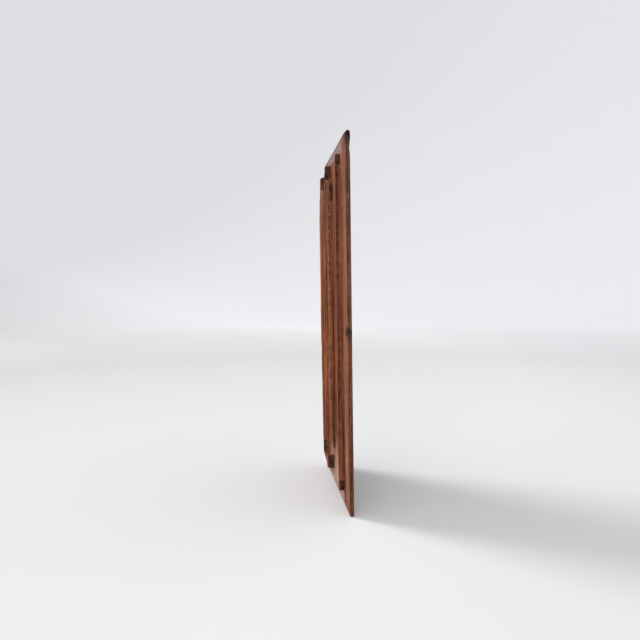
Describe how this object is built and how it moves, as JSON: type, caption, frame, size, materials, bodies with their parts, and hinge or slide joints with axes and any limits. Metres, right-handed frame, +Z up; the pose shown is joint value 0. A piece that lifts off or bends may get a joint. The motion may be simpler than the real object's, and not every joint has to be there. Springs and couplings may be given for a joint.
{
  "type": "linenfold panel",
  "caption": "Upright oak panel carved in relief with folded linen, thin at the edges and flat behind, to hang on a wall or fit in a frame.",
  "frame": {"origin": "centre of the flat field of the back, where the panel lies against what holds it", "axes": "+Z up along the folds, +Y out of the back, -Y out of the carved front, +X to the right seen from the front"},
  "size_m": [0.225, 0.0278, 0.45],
  "materials": {
    "oak": "old waxed oak, worn and dark in the hollows"
  },
  "bodies": {
    "root": {"linenfold_panel": "oak"}
  },
  "joints": []
}
